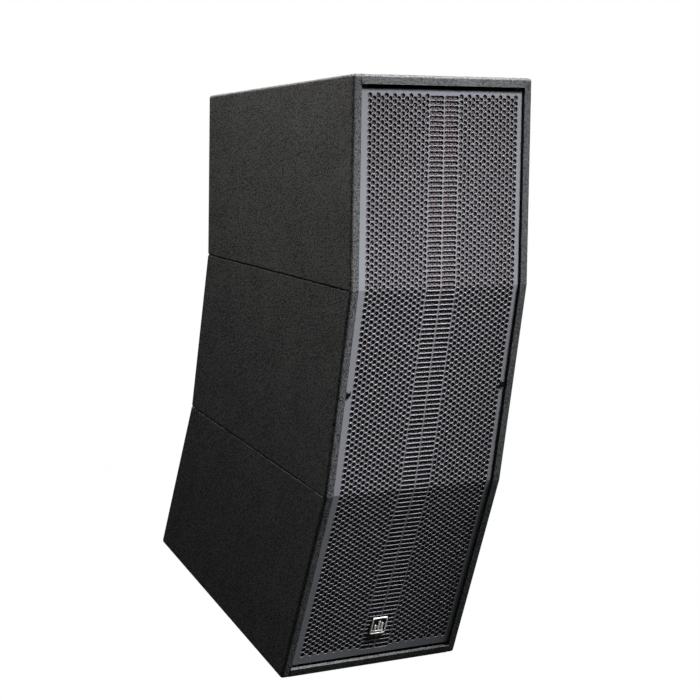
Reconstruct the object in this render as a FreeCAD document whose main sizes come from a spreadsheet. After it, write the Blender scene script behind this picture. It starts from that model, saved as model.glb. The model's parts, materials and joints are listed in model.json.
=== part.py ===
import FreeCAD
import Part
import math
import os
import re

import Sketcher

# Curved three-segment line array speaker on a 35 mm pole socket.
#
# The part's frame has +X to the right seen from the front, +Y towards the back and +Z up.
# The origin is the centre of the pole socket's mouth.
#
# The cabinet is three equal wedge segments.  Every seam between them is a straight line from
# the front edge to the back edge, and each seam is turned by the splay angle from the one
# above it.  A segment's own frame has its origin on the front face at the upper seam, with
# -Z running down the face and +Y running into the cabinet.

SEGMENTS = ("upper", "middle", "lower")

DIMENSIONS = (
    ("cabinet_width", 270.0),
    ("segment_height", 250.0),
    ("seam_depth", 302.0),
    ("splay", 10.0),
    ("panel", 12.0),
    ("edge_round", 4.0),
    ("groove_width", 3.0),
    ("groove_floor", 0.8),
    ("groove_depth", 2.8),
    ("groove_stop", 4.0),
    ("grille_recess", 3.0),
    ("grille_sheet", 1.2),
    ("grille_side_gap", 1.2),
    ("grille_margin", 16.5),
    ("grille_screw_inset", 4.0),
    ("cloth_sheet", 1.0),
    ("cloth_inset", 1.0),
    ("batten_width", 12.0),
    ("batten_depth", 18.0),
    ("badge_side", 23.0),
    ("badge_sheet", 1.6),
    ("badge_down", 193.2),
    ("badge_border", 1.6),
    ("baffle_front", 50.0),
    ("baffle_sheet", 12.0),
    ("brace_hole_radius", 30.0),
    ("brace_hole_pitch", 78.0),
    ("frame_radius", 100.0),
    ("frame_sheet", 4.0),
    ("cutout_radius", 92.0),
    ("basket_depth", 55.0),
    ("basket_wall", 2.5),
    ("basket_fit", 1.0),
    ("window_inset", 4.0),
    ("window_foot", 19.0),
    ("window_reach", 34.0),
    ("window_border", 8.0),
    ("magnet_radius", 55.0),
    ("magnet_depth", 32.0),
    ("magnet_plate", 6.0),
    ("ferrite_bore", 30.25),
    ("pole_radius", 18.2),
    ("coil_radius", 19.6),
    ("coil_wall", 0.7),
    ("coil_length", 30.0),
    ("cone_radius", 78.5),
    ("cone_depth", 43.0),
    ("cone_wall", 1.2),
    ("cap_radius", 24.0),
    ("cap_sphere", 34.0),
    ("roll_middle", 84.0),
    ("roll_radius", 5.0),
    ("roll_wall", 0.9),
    ("spider_depth", 50.0),
    ("spider_wave", 1.0),
    ("spider_sheet", 0.6),
    ("spider_gap", 0.4),
    ("strip_front", 8.0),
    ("strip_width", 46.0),
    ("strip_height", 214.0),
    ("strip_throat", 24.0),
    ("strip_back", 34.0),
    ("strip_foot", 6.5),
    ("mouth_width", 36.0),
    ("mouth_height", 200.0),
    ("throat_width", 12.0),
    ("throat_height", 192.0),
    ("membrane_sheet", 0.5),
    ("screw_head_radius", 3.9),
    ("screw_head_height", 1.7),
    ("screw_shank_radius", 1.9),
    ("screw_length", 16.0),
    ("screw_slot", 0.9),
    ("screw_slot_depth", 1.1),
    ("drill_radius", 2.0),
    ("socket_back", 326.0),
    ("socket_drop", 662.0),
    ("socket_bore_radius", 17.75),
    ("socket_wall", 4.0),
    ("socket_bore_depth", 104.0),
    ("socket_flange_radius", 48.0),
    ("socket_flange_sheet", 4.0),
    ("socket_screw_circle", 38.0),
    ("insert_radius", 7.0),
    ("insert_bore_radius", 4.25),
    ("insert_length", 18.0),
    ("insert_pitch", 140.0),
    ("plate_screw_inset", 9.0),
    ("plate_screw_rise", 91.0),
    ("plate_sheet", 3.0),
    ("plate_recess", 1.0),
    ("plate_gap", 0.8),
    ("sink_width", 190.0),
    ("sink_height", 78.0),
    ("sink_base", 5.0),
    ("sink_fin", 2.2),
    ("sink_fin_height", 22.0),
    ("sink_rise", 50.0),
    ("board_width", 200.0),
    ("board_height", 150.0),
    ("board_sheet", 1.6),
    ("board_standoff", 24.0),
    ("standoff_radius", 4.0),
    ("standoff_inset", 10.0),
    ("transformer_radius", 38.0),
    ("transformer_depth", 42.0),
    ("capacitor_radius", 9.0),
    ("capacitor_depth", 32.0),
    ("capacitor_pitch", 23.0),
    ("knob_radius", 9.0),
    ("knob_height", 14.0),
    ("knob_skirt", 1.4),
    ("knob_gap", 2.0),
    ("knob_crown", 2.0),
    ("pot_bush", 1.5),
    ("flute_radius", 1.1),
    ("shaft_radius", 3.0),
    ("shaft_play", 0.05),
    ("pot_radius", 8.5),
    ("pot_depth", 10.0),
    ("rocker_length", 18.0),
    ("rocker_width", 11.8),
    ("rocker_play", 0.3),
    ("rocker_bezel", 1.6),
    ("rocker_margin", 3.2),
    ("rocker_root", 5.0),
    ("rocker_taper", 2.5),
    ("rocker_high", 3.6),
    ("rocker_middle", 1.4),
    ("rocker_low", 0.6),
    ("rocker_body_depth", 15.0),
    ("rocker_floor", 3.0),
    ("jack_width", 26.0),
    ("jack_height", 31.0),
    ("jack_flange", 2.0),
    ("jack_body_radius", 9.5),
    ("jack_bore_radius", 3.25),
    ("jack_bore_depth", 24.0),
    ("latch_width", 7.0),
    ("latch_height", 2.6),
    ("latch_rise", 12.2),
    ("latch_play", 0.4),
    ("inlet_width", 48.0),
    ("inlet_height", 27.0),
    ("inlet_hole_width", 24.0),
    ("inlet_hole_height", 16.4),
    ("inlet_depth", 17.0),
    ("inlet_wall", 2.0),
    ("blade_width", 2.0),
    ("blade_height", 4.0),
    ("blade_inset", 3.0),
)

# Where the rear controls stand on the plate, from the middle of the plate: (right, up).
JACK_PLACE = (62.0, -18.0)
KNOB_PLACE = (18.0, -18.0)
ROCKER_PLACE = (-26.0, -64.0)
INLET_PLACE = (44.0, -64.0)
KNOB_FLUTES = 18
TRANSFORMER_PLACE = (-48.0, 26.0)
CAPACITORS_PLACE = (37.0, 24.0)
BLADE_PLACES = (("line", -7.0, -2.0), ("neutral", 7.0, -2.0), ("earth", 0.0, 3.0))
BADGE_BARS = (("left", -5.0, 6.0), ("middle", 0.0, 11.0), ("right", 5.0, 8.0))

Vector = FreeCAD.Vector
Placement = FreeCAD.Placement
Rotation = FreeCAD.Rotation
X_AXIS = Vector(1, 0, 0)
Y_AXIS = Vector(0, 1, 0)
Z_AXIS = Vector(0, 0, 1)
HALF_SEGMENT = 0.5

doc = FreeCAD.newDocument("line_array_speaker")
sheet = doc.addObject("Spreadsheet::Sheet", "Sizes")
for row, (alias, value) in enumerate(DIMENSIONS, start=1):
    sheet.set(f"A{row}", alias)
    sheet.set(f"B{row}", str(value))
    sheet.setAlias(f"B{row}", alias)
doc.recompute()

ALIASES = {alias for alias, value in DIMENSIONS}
size = {alias: float(sheet.get(alias)) for alias in ALIASES}
subparts = []


# ---------------------------------------------------------------- expressions and frames

def bind(item, prop, text):
    """Bind a property to an expression in which the sheet's aliases are written bare."""
    def qualified(match):
        word = match.group()
        return "Sizes." + word if word in ALIASES else word
    item.setExpression(prop, re.sub(r"[A-Za-z_]\w*", qualified, text))


def front_edge(seam):
    """The (y, z) expressions of the front end of a seam, from the top front edge."""
    angles = [f"({index} + {HALF_SEGMENT}) * splay" for index in range(seam)]
    back = " + ".join(f"sin({angle})" for angle in angles) or "0"
    down = " + ".join(f"cos({angle})" for angle in angles) or "0"
    return f"segment_height * ({back})", f"-segment_height * ({down})"


def facet_point(segment, down, deep):
    """The (y, z) expressions of a point down a segment's face and deep behind it."""
    angle = f"({segment} + {HALF_SEGMENT}) * splay"
    start_y, start_z = front_edge(segment)
    return (f"{start_y} + ({down}) * sin({angle}) + ({deep}) * cos({angle})",
            f"{start_z} - ({down}) * cos({angle}) + ({deep}) * sin({angle})")


def seam_point(seam, deep):
    """The (y, z) expressions of a point along a seam, deep behind its front end."""
    start_y, start_z = front_edge(seam)
    return (f"{start_y} + ({deep}) * cos({seam} * splay)",
            f"{start_z} + ({deep}) * sin({seam} * splay)")


CABINET = Placement(Vector(0, -size["socket_back"], size["socket_drop"]), Rotation())
SOCKET = Placement()


def edge_place(seam):
    """The front end of a seam as a vector from the top front edge."""
    place = Vector()
    for index in range(seam):
        angle = math.radians((index + HALF_SEGMENT) * size["splay"])
        place += Vector(0, math.sin(angle), -math.cos(angle)) * size["segment_height"]
    return place


def segment_frame(segment):
    turn = Rotation(X_AXIS, (segment + HALF_SEGMENT) * size["splay"])
    return CABINET.multiply(Placement(edge_place(segment), turn))


def seam_frame(seam):
    return CABINET.multiply(Placement(edge_place(seam), Rotation(X_AXIS, seam * size["splay"])))


def moved(frame, across=0.0, deep=0.0, up=0.0, turn=None):
    return frame.multiply(Placement(Vector(across, deep, up), turn or Rotation()))


HALF_SPLAY = math.radians(size["splay"] / 2)
SEGMENT_DEPTH = size["seam_depth"] * math.cos(HALF_SPLAY)
SEGMENT_DEPTH_TEXT = "seam_depth * cos(splay / 2)"
MIDDLE = -size["segment_height"] / 2
FRONT_FRAMES = [moved(segment_frame(index), up=MIDDLE) for index in range(len(SEGMENTS))]
PLATE = moved(segment_frame(1), deep=SEGMENT_DEPTH - size["plate_recess"], up=MIDDLE)


# ---------------------------------------------------------------- ways of making a solid

def keep(item, label):
    """Name a finished sub-part; its label is the name of its file."""
    item.Label = label
    subparts.append(item)
    return item


def outline_sketch(body, plane, outline, offset):
    """A closed outline of (across, up) expressions on one of the body's origin planes."""
    sketch = body.newObject("Sketcher::SketchObject", body.Name + "_outline")
    for feature in body.Origin.OriginFeatures:
        if feature.Role == plane:
            sketch.AttachmentSupport = (feature, [""])
    sketch.MapMode = "FlatFace"
    bind(sketch, "AttachmentOffset.Base.z", offset)
    corners = len(outline)
    for index in range(corners):
        start = 2 * math.pi * index / corners
        stop = 2 * math.pi * (index + 1) / corners
        sketch.addGeometry(Part.LineSegment(Vector(math.cos(start), math.sin(start), 0),
                                            Vector(math.cos(stop), math.sin(stop), 0)))
    for index, (across, up) in enumerate(outline):
        before = (index - 1) % corners
        sketch.addConstraint(Sketcher.Constraint("Coincident", before, 2, index, 1))
        for kind, text in (("DistanceX", across), ("DistanceY", up)):
            row = sketch.addConstraint(Sketcher.Constraint(kind, index, 1, 1.0))
            bind(sketch, f"Constraints[{row}]", text)
    return sketch


def prism(name, frame, plane, outline, low, high):
    """An outline given a thickness from low to high along the axis that it faces."""
    body = doc.addObject("PartDesign::Body", name)
    offset = f"-({high})" if plane == "XZ_Plane" else low
    sketch = outline_sketch(body, plane, outline, offset)
    pad = body.newObject("PartDesign::Pad", name + "_pad")
    pad.Profile = sketch
    bind(pad, "Length", f"({high}) - ({low})")
    body.Placement = frame
    doc.recompute()
    return body


def block(name, frame, across, deep, up):
    """A rectangular block between pairs of (low, high) expressions on X, Y and Z."""
    outline = [(across[0], up[0]), (across[1], up[0]), (across[1], up[1]), (across[0], up[1])]
    return prism(name, frame, "XZ_Plane", outline, deep[0], deep[1])


def centred(extent):
    return f"-({extent}) / 2", f"({extent}) / 2"


def turned(name, frame, plane, outline):
    """A (radius, along) outline turned about Y on the XY plane, or about Z on the XZ plane."""
    body = doc.addObject("PartDesign::Body", name)
    sketch = outline_sketch(body, plane, outline, "0")
    revolution = body.newObject("PartDesign::Revolution", name + "_turn")
    revolution.Profile = sketch
    revolution.ReferenceAxis = (sketch, ["V_Axis"])
    revolution.Angle = 360.0
    body.Placement = frame
    doc.recompute()
    return body


def rod(name, frame, plane, radius, low, high):
    """A plain cylinder, as a turned outline."""
    return turned(name, frame, plane, [("0", low), (radius, low), (radius, high), ("0", high)])


def ring(name, frame, plane, inner, outer, low, high):
    return turned(name, frame, plane, [(inner, low), (outer, low), (outer, high), (inner, high)])


def rounded(body, radius, wanted):
    """Round the edges of a body's last feature for which wanted(edge) is true."""
    base = body.Tip
    names = [f"Edge{number}" for number, edge in enumerate(base.Shape.Edges, start=1) if wanted(edge)]
    fillet = body.newObject("PartDesign::Fillet", body.Name + "_round")
    fillet.Base = (base, names)
    bind(fillet, "Radius", radius)
    doc.recompute()
    return body


def cut(name, base, tools):
    for number, tool in enumerate(tools):
        result = doc.addObject("Part::Cut", f"{name}_cut_{number}")
        result.Base = base
        result.Tool = tool
        base = result
    doc.recompute()
    return base


def fused(name, pieces):
    result = doc.addObject("Part::MultiFuse", name + "_fused")
    result.Shapes = pieces
    doc.recompute()
    return result


def grouped(name, pieces):
    result = doc.addObject("Part::Compound", name + "_group")
    result.Links = pieces
    doc.recompute()
    return result


def copies(name, master, frames):
    """One master solid repeated at each frame, as a group of separate solids."""
    solids = []
    for frame in frames:
        solid = master.Shape.copy()
        solid.Placement = frame.multiply(solid.Placement)
        solids.append(solid)
    group = doc.addObject("Part::Feature", name)
    group.Shape = Part.makeCompound(solids)
    return group


def touches(edge, axis, place):
    """Whether all of an edge lies at one coordinate of its body."""
    return all(abs(getattr(vertex.Point, axis) - place) < 1e-4 for vertex in edge.Vertexes)


def runs_across(edge):
    """Whether an edge runs from side to side."""
    return abs(edge.Vertexes[0].Y - edge.Vertexes[-1].Y) < 1e-4


# ---------------------------------------------------------------- cabinet

def side_panel(label, side):
    """A bent side panel with one shallow groove along each inner seam on its outer face."""
    seams = range(len(SEGMENTS) + 1)
    outline = [seam_point(seam, "0") for seam in seams]
    outline += [seam_point(seam, "seam_depth") for seam in reversed(seams)]
    inner, outer = "cabinet_width / 2 - panel", "cabinet_width / 2"
    low, high = (inner, outer) if side > 0 else (f"-{outer}", f"-({inner})")
    body = prism(label + "_blank", CABINET, "YZ_Plane", outline, low, high)
    face = side * size["cabinet_width"] / 2
    ends = [edge_place(0), edge_place(len(SEGMENTS))]
    ends += [Vector(0, size["seam_depth"], 0)]
    tail = math.radians(len(SEGMENTS) * size["splay"])
    ends += [edge_place(len(SEGMENTS)) + Vector(0, math.cos(tail), math.sin(tail)) * size["seam_depth"]]

    def outer_edge(edge):
        spot = edge.CenterOfMass
        corner = any(math.hypot(spot.y - end.y, spot.z - end.z) < 1e-3 for end in ends)
        return corner or touches(edge, "x", face)

    rounded(body, "edge_round", outer_edge)
    grooves = []
    for seam in range(1, len(SEGMENTS)):
        mouth, floor = "cabinet_width / 2", "cabinet_width / 2 - groove_depth"
        half_mouth, half_floor = "groove_width / 2", "groove_floor / 2"
        spread = f"{mouth} + groove_depth"
        wide = f"{half_mouth} * 2 - {half_floor}"
        corners = [(floor, f"-{half_floor}"), (floor, half_floor),
                   (spread, wide), (spread, f"-({wide})")]
        if side < 0:
            corners = [(f"-({across})", up) for across, up in corners]
        grooves.append(prism(f"{label}_groove_{seam}", seam_frame(seam), "XZ_Plane", corners,
                             "groove_stop", "seam_depth + panel"))
    return keep(cut(label, body, grooves), label)


def level_panels():
    """The top panel and the sloping bottom panel, each between the side panels."""
    across = centred("cabinet_width - 2 * panel")
    top = block("top_blank", CABINET, across, ("0", "seam_depth"), ("-panel", "0"))
    rounded(top, "edge_round", lambda edge: touches(edge, "z", 0.0) and runs_across(edge))
    inserts = insert_frames()
    holes = copies("insert_holes", rod("insert_drill", SOCKET, "XZ_Plane", "insert_radius",
                                       "-insert_length", "1"), inserts)
    keep(cut("top", top, [holes]), "top_panel")

    below = seam_frame(len(SEGMENTS))
    bottom = block("bottom_blank", below, across, ("0", "seam_depth"), ("0", "panel"))
    rounded(bottom, "edge_round", lambda edge: touches(edge, "z", 0.0) and runs_across(edge))
    clear = rod("socket_clearance", SOCKET, "XZ_Plane",
                "socket_bore_radius + socket_wall + 0.3", "-panel", "socket_bore_depth")
    holes = copies("socket_screw_holes", DRILL, socket_screw_frames())
    keep(cut("bottom", bottom, [clear, holes]), "bottom_panel")


def between_seams(name, segment, across, deep, top_gap="0", bottom_gap="0"):
    """A slab across a segment between its two seams, less a gap measured square to each."""
    slope, square = "tan(splay / 2)", "cos(splay / 2)"

    def upper(depth):
        return f"-({depth}) * {slope} - ({top_gap}) / {square}"

    def lower(depth):
        return f"-segment_height + ({depth}) * {slope} + ({bottom_gap}) / {square}"

    outline = [(deep[0], upper(deep[0])), (deep[1], upper(deep[1])),
               (deep[1], lower(deep[1])), (deep[0], lower(deep[0]))]
    return prism(name, segment_frame(segment), "YZ_Plane", outline, across[0], across[1])


def end_gaps(segment, inner="panel / 2"):
    """The gaps at a segment's seams: a whole panel at the cabinet's ends, else the inner gap."""
    top = "panel" if segment == 0 else inner
    bottom = "panel" if segment == len(SEGMENTS) - 1 else inner
    return top, bottom


def back_panels():
    across = centred("cabinet_width - 2 * panel")
    deep = (f"{SEGMENT_DEPTH_TEXT} - panel", SEGMENT_DEPTH_TEXT)
    for segment in (0, len(SEGMENTS) - 1):
        top, bottom = end_gaps(segment, "0")
        label = f"back_panel_{SEGMENTS[segment]}"
        keep(between_seams(label, segment, across, deep, top, bottom), label)


def braces():
    """A vented shelf along each inner seam, from the baffles to the back."""
    across = centred("cabinet_width - 2 * panel")
    deep = ("baffle_front / cos(splay / 2)", "seam_depth - panel / cos(splay / 2)")
    for seam in range(1, len(SEGMENTS)):
        frame = seam_frame(seam)
        name = ("brace_upper", "brace_lower")[seam - 1]
        slab = block(f"{name}_blank", frame, across, deep, centred("panel"))
        middle = (size["baffle_front"] + size["seam_depth"]) / 2
        vent = rod(f"{name}_vent", SOCKET, "XZ_Plane", "brace_hole_radius", "-panel", "panel")
        pitch = size["brace_hole_pitch"]
        spots = [moved(frame, column * pitch, middle + row * pitch / 2)
                 for column in (-1, 0, 1) for row in (-1, 1)]
        keep(cut(name, slab, [copies(f"{name}_vents", vent, spots)]), name)


def baffles():
    across = centred("cabinet_width - 2 * panel")
    deep = ("baffle_front", "baffle_front + baffle_sheet")
    for segment, name in enumerate(SEGMENTS):
        top, bottom = end_gaps(segment)
        slab = between_seams(f"baffle_{name}_blank", segment, across, deep, top, bottom)
        hole = rod(f"baffle_{name}_cutout", FRONT_FRAMES[segment], "XY_Plane", "cutout_radius",
                   "baffle_front - 1", "baffle_front + baffle_sheet + 1")
        screws = copies(f"baffle_{name}_drill", DRILL, driver_screw_frames(segment))
        keep(cut(f"baffle_{name}", slab, [hole, screws]), f"baffle_{name}")


# ---------------------------------------------------------------- screws

def drill_tool():
    """A clearance hole for a screw that points along +Y."""
    return rod("drill_master", SOCKET, "XY_Plane", "drill_radius", "-2", "screw_length + 2")


def pan_head_screw():
    """A cross-recessed screw that points along +Y with its head's seat at the origin."""
    blank = turned("screw_blank", SOCKET, "XY_Plane", [
        ("0", "-screw_head_height"), ("screw_head_radius * 0.62", "-screw_head_height"),
        ("screw_head_radius", "-screw_head_height * 0.45"), ("screw_head_radius", "0"),
        ("screw_shank_radius", "0"), ("screw_shank_radius", "screw_length - 3"),
        ("0", "screw_length")])
    slots = []
    for name, wide, tall in (("long", "screw_head_radius * 1.1", "screw_slot"),
                             ("tall", "screw_slot", "screw_head_radius * 1.1")):
        slots.append(block(f"screw_slot_{name}", SOCKET, centred(wide),
                           ("-screw_head_height - 1", "screw_slot_depth - screw_head_height"),
                           centred(tall)))
    return cut("screw", blank, slots)


DRILL = drill_tool()
SCREW = pan_head_screw()


def circle_frames(frame, radius, count, first, deep):
    """Frames pointing along +Y, evenly spaced round a circle square to the frame's Y axis."""
    frames = []
    for index in range(count):
        angle = math.radians(first + index * 360.0 / count)
        frames.append(moved(frame, radius * math.cos(angle), deep, radius * math.sin(angle)))
    return frames


def driver_screw_frames(segment):
    radius = (size["frame_radius"] + size["cutout_radius"]) / 2
    deep = size["baffle_front"] - size["frame_sheet"]
    return circle_frames(FRONT_FRAMES[segment], radius, 6, 30.0, deep)


def socket_screw_frames():
    """Upward screws round the socket's flange, square to the sloping bottom panel."""
    slope = math.radians(len(SEGMENTS) * size["splay"])
    edge = edge_place(len(SEGMENTS))
    along = (size["socket_back"] - edge.y) / math.cos(slope)
    frame = moved(seam_frame(len(SEGMENTS)), deep=along, up=-size["socket_flange_sheet"],
                  turn=Rotation(X_AXIS, 90))
    return circle_frames(frame, size["socket_screw_circle"], 4, 0.0, 0.0)


def insert_frames():
    middle = size["seam_depth"] / 2
    return [moved(CABINET, deep=middle + side * size["insert_pitch"] / 2) for side in (-1, 1)]


def grille_screw_frames():
    across = size["cabinet_width"] / 2 - size["panel"]
    across -= size["grille_side_gap"] + size["grille_screw_inset"]
    return [moved(FRONT_FRAMES[1], side * across, size["grille_recess"]) for side in (-1, 1)]


def plate_screw_frames():
    """Screws through the rear plate into its battens, pointing into the cabinet."""
    across = size["cabinet_width"] / 2 - size["panel"] - size["plate_screw_inset"]
    rise = size["plate_screw_rise"]
    spots = [(side * across, row * rise) for side in (-1, 1) for row in (-1, 0, 1)]
    turn = Rotation(Z_AXIS, 180)
    return [moved(PLATE, right, 0.0, up, turn) for right, up in spots]


# ---------------------------------------------------------------- front: grille, cloth, badge

def bent_sheet(name, half_width, front, back, margin):
    """One sheet that follows the three facets between two depths behind them."""
    slope = "tan(splay / 2)"
    last = len(SEGMENTS) - 1
    chains = []
    for depth in (front, back):
        chain = [facet_point(0, margin, depth)]
        for seam in range(1, len(SEGMENTS)):
            chain.append(facet_point(seam, f"({depth}) * {slope}", depth))
        chain.append(facet_point(last, f"segment_height - {margin}", depth))
        chains.append(chain)
    outline = chains[0] + chains[1][::-1]
    return prism(name, CABINET, "YZ_Plane", outline, f"-({half_width})", half_width)


def front_cover():
    inner = "cabinet_width / 2 - panel"
    drilled = copies("grille_drill", DRILL, grille_screw_frames())
    back = "grille_recess + grille_sheet"
    grille = bent_sheet("grille_sheet_blank", f"{inner} - grille_side_gap",
                        "grille_recess", back, "grille_margin")
    keep(cut("grille", grille, [drilled]), "grille")
    cloth = bent_sheet("cloth_blank", f"{inner} - grille_side_gap - cloth_inset",
                       back, f"{back} + cloth_sheet", "(grille_margin + cloth_inset)")
    keep(cut("cloth", cloth, [drilled]), "grille_cloth")
    keep(copies("grille_screws", SCREW, grille_screw_frames()), "grille_screws")

    strips = []
    behind = f"{back} + cloth_sheet"
    for side, across in (("left", (f"-({inner})", f"-({inner}) + batten_width")),
                         ("right", (f"{inner} - batten_width", inner))):
        for segment, name in enumerate(SEGMENTS):
            top, bottom = end_gaps(segment, "0.2")
            strips.append(between_seams(f"batten_{name}_{side}", segment, across,
                                        (behind, f"{behind} + batten_depth"), top, bottom))
    keep(cut("battens", grouped("battens", strips), [drilled]), "grille_battens")


def badge():
    """A plain square plate with a raised border and three raised bars."""
    lower = moved(segment_frame(2), deep=size["grille_recess"], up=-size["badge_down"])
    side = "badge_side"
    plate = block("badge_plate", lower, centred(side), ("-badge_sheet", "0"), centred(side))
    inside = "badge_side - 2 * badge_border"
    pocket = block("badge_pocket", lower, centred(inside), ("-badge_sheet - 1", "-badge_sheet / 2"),
                   ("-badge_side / 2 + 5", "badge_side / 2 - badge_border"))
    bars = [cut("badge", plate, [pocket])]
    for name, across, rise in BADGE_BARS:
        bars.append(block(f"badge_bar_{name}", moved(lower, across), centred("2.4"),
                          ("-badge_sheet * 0.9", "-badge_sheet / 2"),
                          ("-badge_side / 2 + 5", f"-badge_side / 2 + 5 + {rise}")))
    keep(fused("badge", bars), "badge")


# ---------------------------------------------------------------- woofers

def woofer(segment):
    frame = FRONT_FRAMES[segment]
    name = SEGMENTS[segment]
    seat = "baffle_front"
    face = "(baffle_front - frame_sheet)"
    rim = "cutout_radius - 0.5"
    throat = "(baffle_front + basket_depth)"
    cup = "magnet_radius + basket_fit"

    shell = turned(f"basket_{name}_blank", frame, "XY_Plane", [
        ("frame_radius", face), ("frame_radius", seat), (rim, seat),
        (cup, f"{throat} - basket_wall"), (cup, throat),
        ("coil_radius + 4", throat), ("coil_radius + 4", f"{throat} - basket_wall"),
        (f"{cup} - basket_wall", f"{throat} - basket_wall"),
        (f"{rim} - basket_wall", f"{seat} + basket_fit"), (f"{rim} - basket_wall", face)])
    window = prism(f"basket_{name}_window", SOCKET, "XZ_Plane",
                   [("magnet_radius + window_inset", "-window_foot"),
                    ("frame_radius + window_inset", "-window_reach"),
                    ("frame_radius + window_inset", "window_reach"),
                    ("magnet_radius + window_inset", "window_foot")],
                   "baffle_front + window_border", f"{throat} - window_border")
    windows = copies(f"basket_{name}_windows", window,
                     [moved(frame, turn=Rotation(Y_AXIS, 60 * index)) for index in range(6)])
    screws = copies(f"basket_{name}_drill", DRILL, driver_screw_frames(segment))
    keep(cut(f"basket_{name}", shell, [windows, screws]), f"woofer_{name}_basket")

    gap = "(coil_radius + 1.2)"
    end = f"{throat} + magnet_depth"
    keep(turned(f"magnet_{name}", frame, "XY_Plane", [
        (gap, throat), ("magnet_radius", throat), ("magnet_radius", end), ("0", end),
        ("0", f"{throat} - 1"), ("pole_radius", f"{throat} - 1"),
        ("pole_radius", f"{end} - magnet_plate"), ("ferrite_bore", f"{end} - magnet_plate"),
        ("ferrite_bore", f"{throat} + magnet_plate"),
        (gap, f"{throat} + magnet_plate")]), f"woofer_{name}_magnet")

    top = f"({face} + 1)"
    neck = f"({top} + cone_depth)"
    cone = turned(f"cone_{name}_shell", frame, "XY_Plane", [
        ("cone_radius - 2 * cone_wall", top), ("cone_radius", top),
        ("coil_radius + cone_wall", neck), ("coil_radius", neck),
        ("coil_radius", f"{neck} - 2 * cone_wall")])
    slope = "(cone_radius - 2 * cone_wall - cap_radius) / (cone_radius - 2 * cone_wall - coil_radius)"
    glue = f"({top} + (cone_depth - 2 * cone_wall) * {slope})"
    crown = size["baffle_front"] - size["frame_sheet"] + 1
    lean = (size["cone_radius"] - 2 * size["cone_wall"] - size["cap_radius"])
    lean /= (size["cone_radius"] - 2 * size["cone_wall"] - size["coil_radius"])
    rest = crown + (size["cone_depth"] - 2 * size["cone_wall"]) * lean - 0.1
    centre = rest + math.sqrt(size["cap_sphere"] ** 2 - size["cap_radius"] ** 2)
    outer = doc.addObject("Part::Sphere", f"cap_{name}_outer")
    inner = doc.addObject("Part::Sphere", f"cap_{name}_inner")
    bind(outer, "Radius", "cap_sphere")
    bind(inner, "Radius", "cap_sphere - cone_wall")
    outer.Placement = moved(frame, deep=centre)
    inner.Placement = moved(frame, deep=centre)
    trim = rod(f"cap_{name}_trim", frame, "XY_Plane", "cap_radius - 0.3", f"{top}", glue)
    dome = doc.addObject("Part::Common", f"cap_{name}")
    dome.Base = cut(f"cap_{name}_shell", outer, [inner])
    dome.Tool = trim
    doc.recompute()
    keep(grouped(f"cone_{name}", [cone, dome]), f"woofer_{name}_cone")

    keep(ring(f"coil_{name}", frame, "XY_Plane", "coil_radius - coil_wall", "coil_radius",
              f"{neck} - 2", f"{neck} - 2 + coil_length"), f"woofer_{name}_voice_coil")

    tori = []
    for part, reach in (("outer", "roll_radius"), ("inner", "roll_radius - roll_wall")):
        torus = doc.addObject("Part::Torus", f"roll_{name}_{part}")
        bind(torus, "Radius1", "roll_middle")
        bind(torus, "Radius2", reach)
        torus.Placement = moved(frame, deep=size["baffle_front"] - size["frame_sheet"],
                                turn=Rotation(X_AXIS, 90))
        tori.append(torus)
    tube = cut(f"roll_{name}", tori[0], [tori[1]])
    half = doc.addObject("Part::Common", f"roll_{name}_half")
    half.Base = tube
    half.Tool = rod(f"roll_{name}_trim", frame, "XY_Plane", "frame_radius", f"{face} - 20", face)
    lip = ring(f"roll_{name}_lip", frame, "XY_Plane", "roll_middle + roll_radius - roll_wall / 2",
               "roll_middle + roll_radius + 2.5", f"{face} - roll_wall", face)
    keep(fused(f"surround_{name}", [half, lip]), f"woofer_{name}_surround")

    level = "(baffle_front + spider_depth - 3)"
    reach = "(magnet_radius - 4 * spider_gap - coil_radius)"
    waves = 10
    upper = [(f"coil_radius + spider_gap + {reach} * {index} / {waves}",
              f"{level} + spider_wave * {(-1) ** index}") for index in range(waves + 1)]
    lower = [(across, f"{along} + spider_sheet") for across, along in reversed(upper)]
    keep(turned(f"spider_{name}", frame, "XY_Plane", upper + lower), f"woofer_{name}_spider")


# ---------------------------------------------------------------- high-frequency strips

def strip(segment):
    """A slim planar unit on a bridge across the front of the woofer."""
    frame = FRONT_FRAMES[segment]
    name = SEGMENTS[segment]
    body = block(f"waveguide_{name}_blank", frame, centred("strip_width"),
                 ("strip_front", "strip_throat"), centred("strip_height"))
    flare = doc.addObject("Part::Wedge", f"waveguide_{name}_flare")
    for prop, text in (("Xmin", "-mouth_width / 2"), ("Xmax", "mouth_width / 2"),
                       ("Zmin", "-mouth_height / 2"), ("Zmax", "mouth_height / 2"),
                       ("Ymin", "strip_front - 0.001"), ("Ymax", "strip_throat + 0.001"),
                       ("X2min", "-throat_width / 2"), ("X2max", "throat_width / 2"),
                       ("Z2min", "-throat_height / 2"), ("Z2max", "throat_height / 2")):
        bind(flare, prop, text)
    flare.Placement = frame
    keep(cut(f"waveguide_{name}", body, [flare]), f"hf_{name}_waveguide")

    keep(block(f"membrane_{name}", frame, centred("throat_width + 6"),
               ("strip_throat", "strip_throat + membrane_sheet"), centred("throat_height + 6")),
         f"hf_{name}_membrane")

    half, foot = "strip_height / 2", "strip_height / 2 - strip_foot"
    front = "strip_throat + membrane_sheet"
    outline = [(front, f"-{half}"), ("baffle_front", f"-{half}"), ("baffle_front", f"-({foot})"),
               ("strip_back", f"-({foot})"), ("strip_back", foot), ("baffle_front", foot),
               ("baffle_front", half), (front, half)]
    low, high = centred("strip_width")
    keep(prism(f"hf_motor_{name}", frame, "YZ_Plane", outline, low, high), f"hf_{name}_magnet_bridge")


# ---------------------------------------------------------------- pole socket and flying points

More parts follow.
